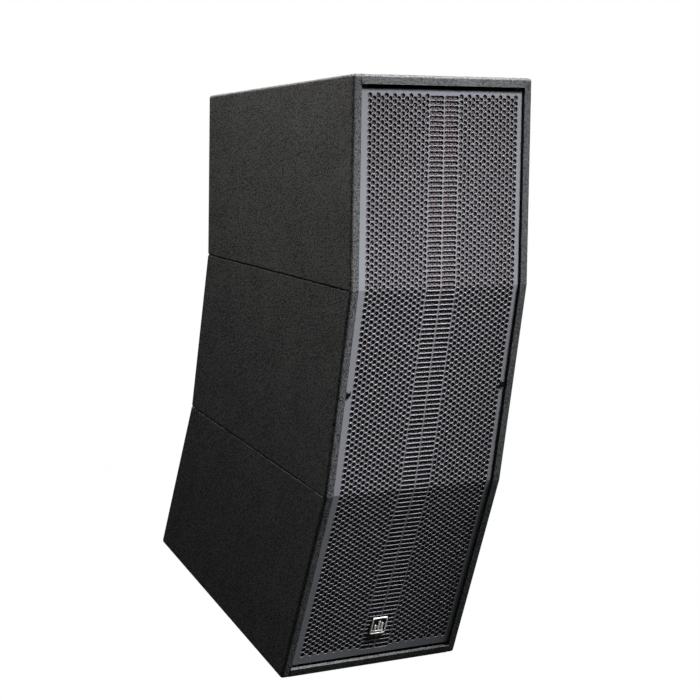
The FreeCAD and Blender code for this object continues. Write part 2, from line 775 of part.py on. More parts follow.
def pole_socket():
    """An upright tube with a closed top, welded through a flange square to the sloping panel."""
    wall = "socket_bore_radius + socket_wall"
    top = "socket_bore_depth + socket_wall"
    bore = rod("socket_bore", SOCKET, "XZ_Plane", "socket_bore_radius", "-1", "socket_bore_depth")
    tube = rod("socket_tube", SOCKET, "XZ_Plane", wall, "0", top)
    keep(cut("pole_socket", tube, [bore]), "pole_socket")
    slope = math.radians(len(SEGMENTS) * size["splay"])
    along = (size["socket_back"] - edge_place(len(SEGMENTS)).y) / math.cos(slope)
    below = moved(seam_frame(len(SEGMENTS)), deep=along)
    flange = rod("flange_disc", below, "XZ_Plane", "socket_flange_radius", "-socket_flange_sheet", "0")
    through = rod("flange_hole", SOCKET, "XZ_Plane", wall, "-panel", top)
    screws = copies("flange_drill", DRILL, socket_screw_frames())
    keep(cut("socket_flange", flange, [through, screws]), "socket_flange")


def flying_points():
    """Two steel threaded inserts, flush with the top."""
    insert = ring("insert_master", SOCKET, "XZ_Plane", "insert_bore_radius", "insert_radius - 0.05",
                  "-insert_length", "0")
    keep(copies("rigging_inserts", insert, insert_frames()), "rigging_inserts")


# ---------------------------------------------------------------- rear plate and controls

def rear_plate():
    """The amplifier's plate closes the back of the middle segment, on wooden battens."""
    inner = "cabinet_width / 2 - panel"
    outside = f"{SEGMENT_DEPTH_TEXT} - plate_recess"
    deep = (f"{outside} - plate_sheet", outside)
    blank = between_seams("plate_blank", 1, centred("cabinet_width - 2 * panel - 2 * plate_gap"), deep,
                          "plate_gap", "plate_gap")
    past = ("-plate_sheet - 1", "1")
    jack = control_frame(JACK_PLACE)
    tools = [
        rod("plate_jack_hole", jack, "XY_Plane", "jack_body_radius + 0.2", *past),
        block("plate_latch_hole", moved(jack, up=size["latch_rise"]), centred("latch_width + 2"), past,
              centred("latch_height + 2")),
        rod("plate_pot_hole", control_frame(KNOB_PLACE), "XY_Plane", "shaft_radius + 1.6", *past),
        block("plate_rocker_hole", control_frame(ROCKER_PLACE), centred("rocker_width + 3.6"), past,
              centred("rocker_length + 5.6")),
        block("plate_inlet_hole", control_frame(INLET_PLACE), centred("inlet_hole_width + 4.6"), past,
              centred("inlet_hole_height + 4.6")),
        copies("plate_drill", DRILL, plate_screw_frames()),
    ]
    keep(cut("rear_plate", blank, tools), "rear_plate")

    behind = (f"{deep[0]} - batten_width", deep[0])
    upright = []
    for side, across in (("left", (f"-({inner})", f"-({inner}) + batten_depth")),
                         ("right", (f"{inner} - batten_depth", inner))):
        upright.append(between_seams(f"rear_batten_{side}", 1, across, behind,
                                     "panel / 2", "panel / 2"))
    drilled = copies("batten_drill", DRILL, plate_screw_frames())
    keep(cut("rear_battens", grouped("rear_battens", upright), [drilled]), "rear_battens")


def control_frame(place):
    """A frame on the plate's outer face, with +Y pointing out of the cabinet."""
    return moved(PLATE, place[0], 0.0, place[1])


def heat_sink():
    frame = moved(PLATE, up=size["sink_rise"])
    fins = 17
    low, high = "-sink_width / 2", "sink_width / 2"
    pitch = f"(sink_width - sink_fin) / {fins - 1}"
    crest = "sink_base + sink_fin_height"
    outline = [(low, "0"), (high, "0")]
    tops = []
    for index in range(fins):
        start = f"{low} + {pitch} * {index}"
        end = f"{start} + sink_fin"
        tops += [(start, "sink_base"), (start, crest), (end, crest), (end, "sink_base")]
    tops = tops[1:-1]
    outline += tops[::-1]
    bottom, top = centred("sink_height")
    keep(prism("heat_sink", frame, "XY_Plane", outline, bottom, top), "heat_sink")


def amplifier_board():
    """The circuit board stands behind the plate with its transformer and capacitors."""
    back = "-plate_sheet - board_standoff"
    face = f"{back} - board_sheet"
    pieces = [block("board_sheet_blank", PLATE, centred("board_width"), (face, back),
                    centred("board_height"))]
    right, up = TRANSFORMER_PLACE
    pieces.append(rod("transformer", moved(PLATE, right, 0.0, up), "XY_Plane", "transformer_radius",
                      f"{face} - transformer_depth", face))
    corners = [(side, row) for side in (-1, 1) for row in (-1, 1)]
    right, up = CAPACITORS_PLACE
    half = size["capacitor_pitch"] / 2
    for index, (side, row) in enumerate(corners):
        spot = moved(PLATE, right + side * half, 0.0, up + row * half)
        pieces.append(rod(f"capacitor_{index}", spot, "XY_Plane", "capacitor_radius",
                          f"{face} - capacitor_depth", face))
    across = size["board_width"] / 2 - size["standoff_inset"]
    rise = size["board_height"] / 2 - size["standoff_inset"]
    for index, (side, row) in enumerate(corners):
        spot = moved(PLATE, side * across, 0.0, row * rise)
        pieces.append(rod(f"standoff_{index}", spot, "XY_Plane", "standoff_radius",
                          back, "-plate_sheet"))
    keep(grouped("amplifier_board", pieces), "amplifier_board")


def gain_control():
    """A potentiometer on the plate, whose shaft carries a fluted knob with a pointer groove."""
    frame = control_frame(KNOB_PLACE)
    bore = "shaft_radius + shaft_play"
    behind = "-plate_sheet"
    shaft_end = "knob_height - 3"
    crown = "knob_height + knob_crown"
    bush = "shaft_radius + pot_bush"
    keep(turned("gain_pot", frame, "XY_Plane", [
        (bore, "pot_bush"), (bush, "pot_bush"), (bush, behind), ("pot_radius", behind),
        ("pot_radius", f"{behind} - pot_depth"), (bore, f"{behind} - pot_depth")]), "gain_pot")
    keep(rod("gain_shaft", frame, "XY_Plane", "shaft_radius", f"{behind} - pot_depth + 2", shaft_end),
         "gain_shaft")
    knob = turned("gain_knob_blank", frame, "XY_Plane", [
        ("shaft_radius", "knob_gap"), ("knob_radius + 1", "knob_gap"),
        ("knob_radius + 1", "knob_gap + knob_skirt"), ("knob_radius", "knob_gap + knob_skirt + 0.4"),
        ("knob_radius - 1", f"{crown} - 1"), ("knob_radius - 2", crown), ("0", crown),
        ("0", shaft_end), ("shaft_radius", shaft_end)])
    pointer = block("knob_pointer", frame, centred("1"), (f"{crown} - 0.6", f"{crown} + 1"),
                    ("knob_radius / 4", "knob_radius"))
    flute = rod("knob_flute", SOCKET, "XY_Plane", "flute_radius", "knob_gap + knob_skirt + 1",
                f"{crown} + 1")
    ring_radius = size["knob_radius"] + 0.2
    flutes = copies("knob_flutes", flute, circle_frames(frame, ring_radius, KNOB_FLUTES, 0.0, 0.0))
    keep(cut("gain_knob", knob, [pointer, flutes]), "gain_knob")


def power_switch():
    """A rocker that rests on its lower end in a framed housing."""
    frame = control_frame(ROCKER_PLACE)
    bezel = block("rocker_frame", frame, centred("rocker_width + 2 * rocker_margin"),
                  ("0", "rocker_bezel"), centred("rocker_length + 2.6 * rocker_margin"))
    body = block("rocker_body", frame, centred("rocker_width + 3"), ("-rocker_body_depth", "0"),
                 centred("rocker_length + 5"))
    hollow = block("rocker_hollow", frame, centred("rocker_width + 2 * rocker_play"),
                   ("rocker_floor - rocker_body_depth", "3"), centred("rocker_length + 2.6"))
    keep(cut("rocker_housing", fused("rocker_shell", [bezel, body]), [hollow]), "rocker_housing")
    half = "rocker_length / 2"
    low, high = centred("rocker_width")
    outline = [("-rocker_root", f"rocker_taper - {half}"), ("-rocker_root", f"{half} - rocker_taper"),
               ("rocker_high", half), ("rocker_middle", "0"), ("rocker_low", f"-{half}")]
    keep(prism("power_rocker", frame, "YZ_Plane", outline, low, high), "power_rocker")


def signal_input():
    """A locking 6.35 mm jack on a rectangular flange, with its release tab above the bore."""
    frame = control_frame(JACK_PLACE)
    above = moved(frame, up=size["latch_rise"])
    flange = block("jack_flange", frame, centred("jack_width"), ("0", "jack_flange"),
                   centred("jack_height"))
    body = rod("jack_body", frame, "XY_Plane", "jack_body_radius", "-jack_bore_depth", "jack_flange")
    bore = rod("jack_bore", frame, "XY_Plane", "jack_bore_radius", "2 * jack_flange - jack_bore_depth",
               "jack_flange + 1")
    slot = block("jack_latch_slot", above, centred("latch_width + 2 * latch_play"),
                 ("-1", "jack_flange + 1"), centred("latch_height + 2 * latch_play"))
    keep(cut("jack_socket", fused("jack_socket", [flange, body]), [bore, slot]), "jack_socket")
    keep(block("jack_latch", above, centred("latch_width"), ("-4", "jack_flange + 2.5"),
               centred("latch_height")), "jack_latch")


def power_inlet():
    """A recessed mains inlet with three blades."""
    frame = control_frame(INLET_PLACE)
    flange = block("inlet_flange", frame, centred("inlet_width"), ("0", "2"), centred("inlet_height"))
    body = block("inlet_body", frame, centred("inlet_hole_width + 2 * inlet_wall"),
                 ("-inlet_depth - inlet_wall", "0"), centred("inlet_hole_height + 2 * inlet_wall"))
    hollow = block("inlet_hollow", frame, centred("inlet_hole_width"), ("-inlet_depth", "3"),
                   centred("inlet_hole_height"))
    shell = cut("inlet_shell", fused("inlet_shell", [flange, body]), [hollow])
    blades = []
    for name, right, up in BLADE_PLACES:
        blades.append(block(f"inlet_blade_{name}", moved(frame, right, 0.0, up), centred("blade_width"),
                            ("-inlet_depth - 1", "-blade_inset"), centred("blade_height")))
    keep(fused("power_inlet", [shell] + blades), "power_inlet")


# ---------------------------------------------------------------- assembly

side_panel("left_side_panel", -1)
side_panel("right_side_panel", 1)
level_panels()
back_panels()
braces()
baffles()
front_cover()
badge()
for number in range(len(SEGMENTS)):
    woofer(number)
    strip(number)
driver_places = [place for number in range(len(SEGMENTS)) for place in driver_screw_frames(number)]
keep(copies("driver_screws", SCREW, driver_places), "driver_screws")
keep(copies("panel_screws", SCREW, plate_screw_frames() + socket_screw_frames()), "panel_screws")
pole_socket()
flying_points()
rear_plate()
heat_sink()
amplifier_board()
gain_control()
power_switch()
signal_input()
power_inlet()
doc.recompute()

for item in doc.Objects:
    if "Invalid" in item.State or "Error" in item.State:
        raise RuntimeError(f"{item.Label} failed: {item.State}")
os.makedirs("parts", exist_ok=True)
for item in subparts:
    if item.Shape.isNull() or not item.Shape.isValid():
        raise RuntimeError(f"{item.Label} has no valid shape")
    item.Shape.exportStep(os.path.join("parts", item.Label + ".step"))
    solids = len(item.Shape.Solids)
    print(f"{item.Label:28s} solids {solids:3d}  volume {item.Shape.Volume / 1000:9.2f} cm3")
print(len(subparts), "sub-parts")
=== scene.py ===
import json
import math

import bpy
import numpy as np
from mathutils import Matrix, Vector
from mathutils.geometry import delaunay_2d_cdt


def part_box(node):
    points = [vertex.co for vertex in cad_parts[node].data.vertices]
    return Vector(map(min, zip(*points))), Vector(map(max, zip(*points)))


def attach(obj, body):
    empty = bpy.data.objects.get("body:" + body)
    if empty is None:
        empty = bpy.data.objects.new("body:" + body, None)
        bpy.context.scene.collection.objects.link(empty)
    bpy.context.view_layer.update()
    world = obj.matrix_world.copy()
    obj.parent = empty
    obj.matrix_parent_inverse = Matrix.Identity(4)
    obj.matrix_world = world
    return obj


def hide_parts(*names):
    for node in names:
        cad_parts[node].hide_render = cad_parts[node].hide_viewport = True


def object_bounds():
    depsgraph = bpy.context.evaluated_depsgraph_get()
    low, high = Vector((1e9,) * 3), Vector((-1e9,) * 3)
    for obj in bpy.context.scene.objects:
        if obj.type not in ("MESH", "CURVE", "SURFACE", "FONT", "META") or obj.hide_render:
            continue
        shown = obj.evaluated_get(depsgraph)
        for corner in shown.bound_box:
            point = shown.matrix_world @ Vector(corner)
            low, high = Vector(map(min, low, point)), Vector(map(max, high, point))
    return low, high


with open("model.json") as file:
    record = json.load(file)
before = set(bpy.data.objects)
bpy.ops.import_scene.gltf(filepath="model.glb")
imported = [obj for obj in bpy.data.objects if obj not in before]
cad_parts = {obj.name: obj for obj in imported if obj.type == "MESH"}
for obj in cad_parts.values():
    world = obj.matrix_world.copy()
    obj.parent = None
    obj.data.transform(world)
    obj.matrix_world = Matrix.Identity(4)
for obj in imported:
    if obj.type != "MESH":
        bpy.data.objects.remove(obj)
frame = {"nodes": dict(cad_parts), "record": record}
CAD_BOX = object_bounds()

# The looks of a curved three-segment line array speaker, in metres, in the CAD part's frame:
# +X to the right seen from the front, +Y towards the back, +Z up.

# ---------------------------------------------------------------- sizes read from the frame

TOP_LOW, TOP_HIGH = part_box("top_panel")
HALF_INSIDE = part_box("right_side_panel")[0].x
FRONT_TOP = Vector((0.0, TOP_LOW.y, TOP_HIGH.z))

# ---------------------------------------------------------------- driving sizes

MM = 0.001
NO_LENGTH = 1e-9
SEGMENTS = ("upper", "middle", "lower")
SPLAY = math.radians(10.0)
SEGMENT_HEIGHT = 250.0 * MM

GRILLE_RECESS = 3.0 * MM
GRILLE_SHEET = 1.2 * MM
GRILLE_GAP = 1.2 * MM
GRILLE_MARGIN = 16.5 * MM
HOLE_RADIUS = 3.15 * MM
HOLE_PITCH = 6.95 * MM
HOLE_EDGE = 0.18 * MM
COLUMN_STEP = 6.02 * MM
COLUMNS = 15
FIRST_COLUMN = 25.8 * MM
PATTERN_SHIFT = 1.3 * MM
FIRST_HOLE = 8.2 * MM
LAST_MARGIN = 9.3 * MM
SLOT_PLACE = 11.25 * MM
SLOT_LENGTH = 21.3 * MM
SLOT_HEIGHT = 4.95 * MM
SLOT_PITCH = 5.90 * MM
FIRST_SLOT = 9.8 * MM
CAP_POINTS = 8
CROSSED = 0.999
CDT_KEEP_FACES = 1
CDT_MERGE = 1e-6

BADGE_SIDE = 23.0 * MM
BADGE_DOWN = 193.2 * MM
BADGE_SHEET = 1.6 * MM
BADGE_BORDER = 1.7 * MM
BADGE_CORNER = 2.0 * MM
BADGE_INNER_CORNER = 1.2 * MM
BADGE_EDGE = 0.3 * MM
BADGE_FIELD_GAP = 0.02 * MM
BADGE_BARS = ((-5.0 * MM, 6.0 * MM), (0.0, 11.0 * MM), (5.0 * MM, 8.5 * MM))
BAR_HALF = 1.5 * MM
BAR_FOOT = 5.0 * MM
LINE_UP = 2.6 * MM
LINE_INSET = 2.0 * MM
LINE_HALF = 0.7 * MM

TICKS = 11
TICK_GAP = 1.6 * MM
TICK_LONG = 3.6 * MM
TICK_SHORT = 2.2 * MM
TICK_HALF = 0.4 * MM
TICK_RISE = 0.15 * MM
GAIN_TURN = math.radians(150.0)
POINTER_START = 2.4 * MM
POINTER_MARGIN = 3.1 * MM
POINTER_SUNK = 0.6 * MM
POINTER_RISE = 0.5 * MM

CLOTH_SHEET = 0.5 * MM
CLOTH_INSET = 1.0 * MM
CLOTH_GAP = 0.15 * MM
CLOTH_CELL = Vector((3.7 * MM, 4.3 * MM))
CLOTH_HOLE = 1.4 * MM


def facet_frame(index):
    """A segment's frame: origin on its front face at the top, -Z down the face, +Y inward."""
    place = FRONT_TOP.copy()
    for above in range(index):
        turn = (above + 0.5) * SPLAY
        place += Vector((0.0, math.sin(turn), -math.cos(turn))) * SEGMENT_HEIGHT
    return Matrix.Translation(place) @ Matrix.Rotation((index + 0.5) * SPLAY, 4, "X")


def bend_ends(depth, margin):
    """Distances down a bent sheet, at one depth, of its top, its folds and its bottom."""
    fold = depth * math.tan(SPLAY / 2)
    ends = [margin]
    for index in range(len(SEGMENTS) - 1):
        ends.append(ends[-1] + SEGMENT_HEIGHT - fold - (margin if index == 0 else fold))
    ends.append(ends[-1] + SEGMENT_HEIGHT - margin - fold)
    return [end - margin for end in ends]


def bent(points, index, depth, margin):
    """Points (across, along the sheet, behind its front) of one facet, in the frame."""
    start = bend_ends(depth, margin)[index]
    lead = margin if index == 0 else depth * math.tan(SPLAY / 2)
    local = np.column_stack([points[:, 0], depth + points[:, 2], start - lead - points[:, 1],
                             np.ones(len(points))])
    return (local @ np.array(facet_frame(index)).T)[:, :3]


# ---------------------------------------------------------------- shader helpers

def new_material(name):
    material = bpy.data.materials.new(name)
    material.use_nodes = True
    tree = material.node_tree
    return material, tree, tree.nodes["Principled BSDF"]


def add(tree, kind, inputs=None, **settings):
    """A node with its settings and inputs; an input is a value or another node's output socket."""
    made = tree.nodes.new(kind)
    for key, value in settings.items():
        setattr(made, key, value)
    for key, value in (inputs or {}).items():
        if isinstance(value, bpy.types.NodeSocket):
            tree.links.new(value, made.inputs[key])
        else:
            made.inputs[key].default_value = value
    return made


def place(tree):
    return add(tree, "ShaderNodeTexCoord").outputs["Object"]


def noise(tree, size, detail=2.0, where=None, roughness=0.5):
    """A noise whose grains are about size metres across."""
    return add(tree, "ShaderNodeTexNoise", {
        "Vector": where or place(tree), "Scale": 1.0 / size, "Detail": detail,
        "Roughness": roughness}).outputs["Fac"]


def ramp(tree, factor, stops):
    made = add(tree, "ShaderNodeValToRGB", {"Fac": factor})
    elements = made.color_ramp.elements
    while len(elements) < len(stops):
        elements.new(0.5)
    for element, (where, colour) in zip(elements, stops):
        element.position = where
        element.color = (*colour, 1.0)
    return made.outputs["Color"]


def remap(tree, value, low, high, to_low, to_high):
    return add(tree, "ShaderNodeMapRange", {
        "Value": value, "From Min": low, "From Max": high,
        "To Min": to_low, "To Max": to_high}).outputs["Result"]


def bump(tree, shader, height, distance):
    made = add(tree, "ShaderNodeBump", {"Height": height, "Distance": distance, "Strength": 1.0})
    tree.links.new(made.outputs["Normal"], shader.inputs["Normal"])


def math_node(tree, operation, *values):
    return add(tree, "ShaderNodeMath", dict(enumerate(values)), operation=operation).outputs[0]


def vector_node(tree, operation, *values):
    return add(tree, "ShaderNodeVectorMath", dict(enumerate(values)), operation=operation)


def blend(tree, share, first, second):
    return add(tree, "ShaderNodeMix", {"Factor": share, "A": first, "B": second}).outputs["Result"]


def set_shader(tree, shader, **values):
    """Constants, or links where a value is a socket, on the Principled shader."""
    for key, value in values.items():
        socket = shader.inputs[key.replace("_", " ")]
        if isinstance(value, bpy.types.NodeSocket):
            tree.links.new(value, socket)
        else:
            socket.default_value = value


# ---------------------------------------------------------------- materials

def textured_paint(name, dark, light, grain, depth, rough):
    """Hard textured paint with a slow mottling; its colour follows the rounded grains' height, a
    painted highlight on the crests and painted shade in the pits.
    """
    material, tree, shader = new_material(name)
    cells = add(tree, "ShaderNodeTexVoronoi", {"Vector": place(tree), "Scale": 1.0 / grain},
                feature="SMOOTH_F1").outputs["Distance"]
    crest = remap(tree, cells, 0.1, 0.7, 1.0, 0.0)
    fine = noise(tree, grain * 1.7, 3.0, roughness=0.6)
    slow = noise(tree, grain * 25, 2.0)
    grains = math_node(tree, "MULTIPLY_ADD", crest, 0.45, math_node(tree, "MULTIPLY", fine, 0.55))
    tone = blend(tree, 0.12, grains, slow)
    # The colour follows the grains' height: painted highlight on the pale crests and painted shade in
    # the dark pits, over the paint's own slow mottling.
    set_shader(tree, shader, Base_Color=ramp(tree, tone, [(0.34, dark), (0.66, light)]),
               Roughness=remap(tree, grains, 0.3, 0.7, rough + 0.1, rough - 0.06))
    bump(tree, shader, grains, depth)
    return material


def speckled_plastic(name, colour, rough, grain=0.4 * MM, depth=0.03 * MM):
    material, tree, shader = new_material(name)
    fine = noise(tree, grain, 2.0)
    lighter = tuple(min(1.0, 1.25 * channel + 0.004) for channel in colour)
    set_shader(tree, shader, Base_Color=ramp(tree, fine, [(0.3, colour), (0.75, lighter)]),
               Roughness=remap(tree, fine, 0.3, 0.7, rough - 0.04, rough + 0.06))
    bump(tree, shader, fine, depth)
    return material


def stretched_place(tree, scale):
    return add(tree, "ShaderNodeMapping", {"Vector": place(tree), "Scale": scale}).outputs["Vector"]


def metal(name, colour, rough, stretch=(1.0, 1.0, 12.0), grain=0.5 * MM):
    """Bare or plated metal with faint drawn lines along one axis."""
    material, tree, shader = new_material(name)
    lines = noise(tree, grain, 3.0, stretched_place(tree, stretch))
    darker = tuple(0.72 * channel for channel in colour)
    set_shader(tree, shader, Metallic=1.0,
               Base_Color=ramp(tree, lines, [(0.3, darker), (0.7, colour)]),
               Roughness=remap(tree, lines, 0.3, 0.7, rough - 0.06, rough + 0.08))
    bump(tree, shader, lines, 0.01 * MM)
    return material


def cream_enamel(name):
    """Satin cream enamel on metal, a little worn."""
    material, tree, shader = new_material(name)
    wear = noise(tree, 2.5 * MM, 4.0)
    fine = noise(tree, 0.3 * MM, 2.0)
    worn, clean = (0.62, 0.58, 0.50), (0.97, 0.95, 0.87)
    set_shader(tree, shader, Base_Color=ramp(tree, wear, [(0.26, worn), (0.40, clean)]),
               Roughness=remap(tree, fine, 0.3, 0.7, 0.28, 0.42))
    bump(tree, shader, fine, 0.01 * MM)
    return material


def woven(name, dark, light, pitch):
    """Two crossing sets of threads."""
    material, tree, shader = new_material(name)
    threads = [add(tree, "ShaderNodeTexWave", {"Vector": place(tree), "Scale": 0.31 / pitch},
                   wave_type="BANDS", bands_direction=axis).outputs["Fac"] for axis in "XZ"]
    cross = math_node(tree, "MAXIMUM", *threads)
    set_shader(tree, shader, Base_Color=ramp(tree, cross, [(0.2, dark), (0.9, light)]), Roughness=0.85)
    bump(tree, shader, cross, 0.2 * pitch)
    return material


def plywood(name):
    """Black-stained plywood with thin plies and long grain."""
    material, tree, shader = new_material(name)
    grain = noise(tree, 9.0 * MM, 4.0, stretched_place(tree, (1.0, 14.0, 14.0)))
    dark, light = (0.035, 0.026, 0.02), (0.11, 0.085, 0.062)
    set_shader(tree, shader, Base_Color=ramp(tree, grain, [(0.3, dark), (0.7, light)]), Roughness=0.75)
    bump(tree, shader, grain, 0.15 * MM)
    return material


def grille_paint(name):
    """Charcoal powder coat over perforated steel."""
    material, tree, shader = new_material(name)
    fine = noise(tree, 0.55 * MM, 2.0)
    slow = noise(tree, 45.0 * MM, 2.0)
    tone = blend(tree, 0.2, fine, slow)
    dark, light = (0.150, 0.150, 0.158), (0.186, 0.186, 0.196)
    set_shader(tree, shader, Base_Color=ramp(tree, tone, [(0.35, dark), (0.65, light)]),
               Roughness=remap(tree, fine, 0.3, 0.7, 0.42, 0.5))
    bump(tree, shader, fine, 0.04 * MM)
    return material


def dot_distance(tree, where, shift):
    """Distance from the nearest dot of one rectangular lattice, in metres."""
    moved = vector_node(tree, "ADD", where, shift).outputs["Vector"]
    inside = vector_node(tree, "FRACTION", moved).outputs["Vector"]
    centre = vector_node(tree, "SUBTRACT", inside, (0.5, 0.5, 0.0)).outputs["Vector"]
    cell = (2 * CLOTH_CELL.x, CLOTH_CELL.y, 0.0)
    real = vector_node(tree, "MULTIPLY", centre, cell).outputs["Vector"]
    return vector_node(tree, "LENGTH", real).outputs["Value"]


def acoustic_mesh(name):
    """Warm grey knitted mesh with small round openings in a hexagonal lattice, the openings painted
    near-black as painted shade of the dark inside behind them.
    """
    material, tree, shader = new_material(name)
    flat = add(tree, "ShaderNodeAttribute", attribute_name="flat_place").outputs["Vector"]
    density = (0.5 / CLOTH_CELL.x, 1.0 / CLOTH_CELL.y, 0.0)
    cells = vector_node(tree, "MULTIPLY", flat, density).outputs["Vector"]
    near = math_node(tree, "MINIMUM", dot_distance(tree, cells, (0.0, 0.0, 0.0)),
                     dot_distance(tree, cells, (0.5, 0.5, 0.0)))
    strand = remap(tree, near, CLOTH_HOLE * 0.85, CLOTH_HOLE * 1.15, 0.0, 1.0)
    fibre = noise(tree, 0.35 * MM, 2.0)
    warm = ramp(tree, fibre, [(0.3, (0.058, 0.036, 0.038)), (0.7, (0.125, 0.079, 0.084))])
    # The openings get a near-black colour: painted shade for the dark cabinet inside seen through them.
    knit = add(tree, "ShaderNodeMixRGB",
               {"Fac": strand, "Color1": (0.004, 0.004, 0.004, 1.0), "Color2": warm}).outputs["Color"]
    set_shader(tree, shader, Base_Color=knit, Roughness=0.8)
    bump(tree, shader, strand, 0.5 * MM)
    return material


BLACK = (0.012, 0.012, 0.012)
COAL = (0.04, 0.04, 0.04)
# For each slot: the kind of material and what it takes after its name.
LOOKS = {
    # Cabinet paint from its darkest to its palest tone: the darkest sits in the grains' pits as painted
    # shade and the palest on their crests as painted highlight.
    "cabinet_paint": (textured_paint, (0.008, 0.008, 0.0082), (0.10, 0.10, 0.099),
                      1.6 * MM, 0.45 * MM, 0.5),
    "bare_plywood": (plywood,),
    "grille_paint": (grille_paint,),
    "grille_fabric": (acoustic_mesh,),
    "black_screw": (metal, (0.10, 0.10, 0.105), 0.38),
    "badge_metal": (cream_enamel,),
    "basket_paint": (textured_paint, (0.01, 0.01, 0.01), (0.03, 0.03, 0.03), 0.8 * MM, 0.1 * MM, 0.5),
    "magnet_steel": (metal, (0.20, 0.20, 0.21), 0.45),
    "strip_body": (metal, (0.06, 0.06, 0.06), 0.4),
    "cone_paper": (textured_paint, (0.02, 0.018, 0.016), (0.05, 0.045, 0.04), 1.5 * MM, 0.2 * MM, 0.8),
    "coil_former": (metal, (0.62, 0.32, 0.14), 0.35),
    "surround_rubber": (speckled_plastic, (0.015, 0.015, 0.015), 0.6),
    "spider_fabric": (woven, (0.16, 0.10, 0.03), (0.50, 0.36, 0.14), 0.7 * MM),
    "waveguide_plastic": (speckled_plastic, BLACK, 0.5),
    "membrane_film": (speckled_plastic, (0.45, 0.32, 0.12), 0.3),
    "socket_metal": (textured_paint, BLACK, COAL, 0.8 * MM, 0.08 * MM, 0.45),
    "insert_steel": (metal, (0.6, 0.6, 0.62), 0.3),
    "plate_paint": (textured_paint, (0.014, 0.014, 0.015), (0.035, 0.035, 0.037),
                    0.7 * MM, 0.08 * MM, 0.5),
    "sink_aluminium": (metal, (0.05, 0.05, 0.052), 0.42, (12.0, 1.0, 1.0)),
    "circuit_board": (speckled_plastic, (0.01, 0.09, 0.03), 0.35),
    "pot_metal": (metal, (0.6, 0.6, 0.6), 0.35),
    "knob_plastic": (speckled_plastic, BLACK, 0.42),
    "socket_plastic": (speckled_plastic, BLACK, 0.5),
    "rocker_plastic": (speckled_plastic, (0.01, 0.01, 0.01), 0.22),
    "jack_metal": (textured_paint, BLACK, COAL, 0.6 * MM, 0.05 * MM, 0.4),
    "latch_metal": (metal, (0.65, 0.65, 0.64), 0.3),
}
MATERIALS = {slot: make(slot, *values) for slot, (make, *values) in LOOKS.items()}
SLOT_OF = {part["node"]: part["material_slot"] for part in frame["record"]["subparts"]}


def finish_cad_nodes():
    """Every CAD node wears the material of its slot in the record."""
    for node, obj in frame["nodes"].items():
        obj.data.materials.clear()
        obj.data.materials.append(MATERIALS[SLOT_OF[node]])


# ---------------------------------------------------------------- pieces

def new_piece(name, vertices, faces, slot, smooth=None, body="cabinet"):
    """A mesh piece that rides on a body and wears a slot's material."""
    mesh = bpy.data.meshes.new(name)
    mesh.from_pydata(vertices, [], faces)
    if smooth is not None:
        mesh.polygons.foreach_set("use_smooth", smooth)
    mesh.materials.append(MATERIALS[slot])
    mesh.update()
    piece = bpy.data.objects.new(name, mesh)
    bpy.context.scene.collection.objects.link(piece)
    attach(piece, body)
    return piece


# ---------------------------------------------------------------- perforated grille

GRILLE_ENDS = bend_ends(GRILLE_RECESS, GRILLE_MARGIN)
GRILLE_HALF = HALF_INSIDE - GRILLE_GAP


def openings():
    """Every opening as (across, along, half length of its centre line, radius)."""
    last = GRILLE_ENDS[-1] - LAST_MARGIN
    found = []
    for column in range(COLUMNS):
        first = FIRST_HOLE + (column % 2) * HOLE_PITCH / 2
        count = int((last - first) / HOLE_PITCH + 1)
        for side in (-1, 1):
            across = PATTERN_SHIFT + side * (FIRST_COLUMN + column * COLUMN_STEP)
            found += [(across, first + row * HOLE_PITCH, 0.0, HOLE_RADIUS) for row in range(count)]
    count = int((last - FIRST_SLOT) / SLOT_PITCH + 1)
    half_line = (SLOT_LENGTH - SLOT_HEIGHT) / 2
    for side in (-1, 1):
        across = PATTERN_SHIFT + side * SLOT_PLACE
        found += [(across, FIRST_SLOT + row * SLOT_PITCH, half_line, SLOT_HEIGHT / 2)
                  for row in range(count)]
    return found


def loop_angles(half_line, crossing):
    """(angle, side of the centre line) round an opening, with two more where a fold crosses it."""
    step = math.pi / CAP_POINTS
    if half_line:
        angles = [(-math.pi / 2 + index * step, 1) for index in range(CAP_POINTS + 1)]
        angles += [(math.pi / 2 + index * step, -1) for index in range(CAP_POINTS + 1)]
    else:
        angles = [(-math.pi / 2 + index * step, 1) for index in range(2 * CAP_POINTS)]
    if crossing is not None:
        for extra, side in ((math.asin(crossing), 1), (math.pi - math.asin(crossing), -1)):
            angles = [item for item in angles if abs(item[0] - extra) > step / 4]
            angles.append((extra, side))
        angles.sort(key=lambda item: (item[0], -item[1]))
    return angles


